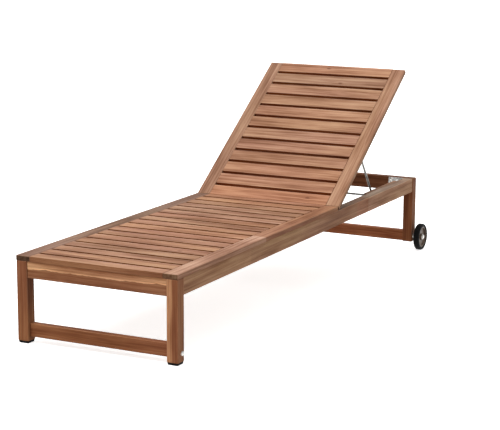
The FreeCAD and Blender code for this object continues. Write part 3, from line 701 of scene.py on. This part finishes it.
def add_head(mesh, head, centre, direction):
    """A domed fastener head with a drive socket, standing on a plane at centre."""
    turn = direction.to_track_quat("Z", "Y").to_matrix()
    rings = [(share * head.radius, rise * head.height, circle)
             for share, rise in DOME_PROFILE]
    rings += [(share * head.socket, rise * head.height, head.outline)
              for share, rise in SOCKET_PROFILE]
    loops = []
    for radius, level, outline in rings:
        loop = []
        for step in range(HEAD_STEPS):
            angle = 2 * math.pi * step / HEAD_STEPS
            reach = radius * outline(angle)
            point = Vector((reach * math.cos(angle), reach * math.sin(angle), level))
            loop.append(mesh.verts.new(centre + turn @ point))
        loops.append(loop)
    for lower, upper in zip(loops, loops[1:]):
        for step in range(HEAD_STEPS):
            following = (step + 1) % HEAD_STEPS
            mesh.faces.new((lower[step], lower[following], upper[following], upper[step]))
    mesh.faces.new(loops[-1])
    mesh.faces.new(list(reversed(loops[0])))


def fasteners(name, body, material, head, spots):
    """One steel piece with a head at every spot, riding on its body."""
    mesh = bmesh.new()
    for centre, direction in spots:
        add_head(mesh, head, centre, direction)
    data = bpy.data.meshes.new(name)
    mesh.to_mesh(data)
    mesh.free()
    data.materials.append(material)
    data.polygons.foreach_set("use_smooth", [True] * len(data.polygons))
    piece = bpy.data.objects.new(name, data)
    bpy.context.scene.collection.objects.link(piece)
    edges = piece.modifiers.new("crisp", "EDGE_SPLIT")
    edges.split_angle = CRISP_ANGLE
    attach(piece, body)
    return piece


def bolt_centre(name, sign):
    """Middle of a node's outermost points on one side, in the side view."""
    points = [v.co for v in nodes[name].data.vertices]
    outermost = max(sign * p.x for p in points)
    rim = [p for p in points if sign * p.x > outermost - 0.1 * MM]
    return (sum(p.y for p in rim) / len(rim), sum(p.z for p in rim) / len(rim))


def bolt_heads(zinc):
    """Button heads with hexagon sockets over the plain heads of the CAD bolts."""
    for name in ("leg_bolts", "wheel_axles"):
        low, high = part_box(name)
        middle = (low + high) / 2
        spots = []
        for sign in (-1, 1):
            face = high.x if sign > 0 else low.x
            centre = Vector((face - sign * BOLT_SEAT, middle.y, middle.z))
            if name == "leg_bolts":
                centre.y, centre.z = bolt_centre(name, sign)
            spots.append((centre, Vector((sign, 0, 0))))
        fasteners(name + "_heads", "frame", zinc, BOLT, spots)


def right_half(name):
    """The node's points on the +X side."""
    return [v.co for v in nodes[name].data.vertices if v.co.x > 0]


def carrier_screws(zinc):
    """Countersunk screws up through the ledgers and bearers into each slat."""
    for slats, carrier in (("seat_slat", "seat_ledgers"), ("back_slat", "back_bearers")):
        members = [name for name in nodes if name.startswith(slats)]
        normal = timber_axes(nodes[members[0]].data)[2]
        points = right_half(carrier)
        middle_x = (min(p.x for p in points) + max(p.x for p in points)) / 2
        underside = min(p.dot(normal) for p in points)
        first, last = min(p.y for p in points), max(p.y for p in points)
        spots = []
        for name in members:
            low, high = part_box(name)
            middle = (low + high) / 2
            if not first < middle.y < last:
                continue
            for sign in (-1, 1):
                centre = Vector((sign * middle_x, middle.y, middle.z))
                centre += normal * (underside - centre.dot(normal))
                spots.append((centre, -normal))
        fasteners(carrier + "_screws", body_of[carrier], zinc, SLAT_SCREW, spots)


def bracket_spots(shares, levels):
    """Places on both flanges of each corner bracket, with the directions they face.

    A share is how far along its flange a place is, and a level how far above its middle.
    """
    backwards = timber_axes(nodes["side_rail_right"].data)[0]
    points = right_half("corner_brackets")
    inner, outer = min(p.x for p in points), max(p.x for p in points)
    back = max(p.dot(backwards) for p in points)
    low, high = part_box("corner_brackets")
    middle = (low.z + high.z) / 2
    spots = []
    for share in shares:
        y = low.y + (high.y - low.y) * share
        x = outer - (outer - inner) * share
        for level in levels:
            for sign in (-1, 1):
                spots.append((Vector((sign * (outer - BRACKET_PLATE), y, middle + level)),
                              Vector((-sign, 0, 0))))
                centre = Vector((sign * x, low.y, middle + level))
                centre += backwards * (back - BRACKET_PLATE - centre.dot(backwards))
                spots.append((centre, -backwards))
    return spots


def dress_brackets(zinc, rubber):
    """Two screws in each flange of the corner brackets, among flat black discs that paint the
    shade inside the bracket's holes.
    """
    fasteners("corner_brackets_screws", "frame", zinc, BRACKET_SCREW,
              bracket_spots(SCREW_SHARES, SCREW_LEVELS))
    # painted shade in the bracket's holes, as black rubber discs
    hole_shade = fasteners("corner_brackets_hole_shade", "frame", rubber, HOLE_SHADE_DISC,
                        bracket_spots(HOLE_SHARES, HOLE_LEVELS))


# ---------------------------------------------------------------- studio
CAMERA_PLACE = Vector((2.6138, -5.1994, 1.3824))
CAMERA_AZIMUTH = 26.469        # degrees, as the next two
CAMERA_DROP = 10.793
CAMERA_ROLL = 0.587
CAMERA_REACH = 200
LENS = 117.65                  # millimetres, as the sensor
SENSOR = 36.0

LIGHT_BELOW = (0.11, 0.07, 0.04, 1.0)
LIGHT_LEVEL = (0.45, 0.34, 0.24, 1.0)
LIGHT_ABOVE = (0.78, 0.80, 0.82, 1.0)
KEY_FROM = Vector((-0.2, -0.3, 1.0))
KEY_SPREAD = math.radians(60)
KEY_POWER = 2.4

FLOOR_DARK = srgb(240, 240, 240)
FLOOR_LIGHT = srgb(246, 246, 246)
FLOOR_GLOW = 0.7
STUDIO_REACH = 60.0
BACKDROP_SEGMENTS = 48
BACKDROP_RINGS = 24


def make_camera():
    azimuth, drop, roll = map(math.radians, (CAMERA_AZIMUTH, CAMERA_DROP, CAMERA_ROLL))
    ahead = Vector((-math.sin(azimuth) * math.cos(drop), math.cos(azimuth) * math.cos(drop),
                    -math.sin(drop)))
    level = Vector((math.cos(azimuth), math.sin(azimuth), 0))
    rise = level.cross(ahead)
    right = math.cos(roll) * level + math.sin(roll) * rise
    up = math.cos(roll) * rise - math.sin(roll) * level
    data = bpy.data.cameras.new("camera")
    data.lens = LENS
    data.sensor_width = SENSOR
    data.clip_end = CAMERA_REACH
    camera = bpy.data.objects.new("camera", data)
    bpy.context.scene.collection.objects.link(camera)
    camera.matrix_world = Matrix.Translation(CAMERA_PLACE) @ Matrix(
        (right, up, -ahead)).transposed().to_4x4()
    bpy.context.scene.camera = camera


def make_surroundings():
    """Light from all round: bright overhead, warm and dim from the sides and below."""
    g = Graph(bpy.data.worlds.new("studio"))
    direction = g.node("ShaderNodeTexCoord").outputs["Generated"]
    share = g.spread(g.separate(direction)[2], -1.0, 1.0, 0.0, 1.0)
    colour = g.ramp(share, (0.0, LIGHT_BELOW), (0.5, LIGHT_LEVEL), (1.0, LIGHT_ABOVE))
    background = g.node("ShaderNodeBackground", {"Color": colour, "Strength": 1.0})
    g.node("ShaderNodeOutputWorld", {"Surface": background.outputs[0]})
    bpy.context.scene.world = g.owner


def stage_object(name, mesh, material):
    """Adds a part of the studio that shows and mirrors but lights no matt surface."""
    mesh.materials.append(material)
    obj = bpy.data.objects.new(name, mesh)
    bpy.context.scene.collection.objects.link(obj)
    obj.visible_diffuse = False
    return obj


def make_floor():
    """White paper that also glows, which keeps the shadows on it pale."""
    reach = STUDIO_REACH
    mesh = bpy.data.meshes.new("floor")
    mesh.from_pydata([(-reach, -reach, 0), (reach, -reach, 0), (reach, reach, 0),
                      (-reach, reach, 0)], [], [(0, 1, 2, 3)])
    g = new_material("floor_paper")
    mottle = g.noise(g.place(), (1.5, 1.5, 1.5), 3.0)
    colour = g.mix(mottle, FLOOR_DARK, FLOOR_LIGHT)
    paper = g.surface(colour, 0.9, mottle, 0.1 * MM, specular=0.1, glow=FLOOR_GLOW)
    stage_object("floor", mesh, paper)


def make_backdrop():
    """A white shell round the whole studio, which casts no shadow."""
    shell = bmesh.new()
    bmesh.ops.create_uvsphere(shell, u_segments=BACKDROP_SEGMENTS,
                              v_segments=BACKDROP_RINGS, radius=STUDIO_REACH)
    mesh = bpy.data.meshes.new("backdrop")
    shell.to_mesh(mesh)
    shell.free()
    g = new_material("backdrop_white")
    glow = g.node("ShaderNodeEmission", {"Color": WHITE, "Strength": 1.0})
    g.node("ShaderNodeOutputMaterial", {"Surface": glow.outputs[0]})
    backdrop = stage_object("backdrop", mesh, g.owner)
    backdrop.visible_shadow = False


def make_key_light():
    data = bpy.data.lights.new("key", "SUN")
    data.energy = KEY_POWER
    data.angle = KEY_SPREAD
    key = bpy.data.objects.new("key", data)
    bpy.context.scene.collection.objects.link(key)
    key.rotation_mode = "QUATERNION"
    key.rotation_quaternion = (-KEY_FROM).to_track_quat("-Z", "Y")


def make_studio():
    bpy.context.scene.view_settings.view_transform = "Standard"
    make_surroundings()
    make_floor()
    make_backdrop()
    make_key_light()


zinc, rubber = dress_nodes()
bolt_heads(zinc)
carrier_screws(zinc)
dress_brackets(zinc, rubber)
make_studio()
make_camera()
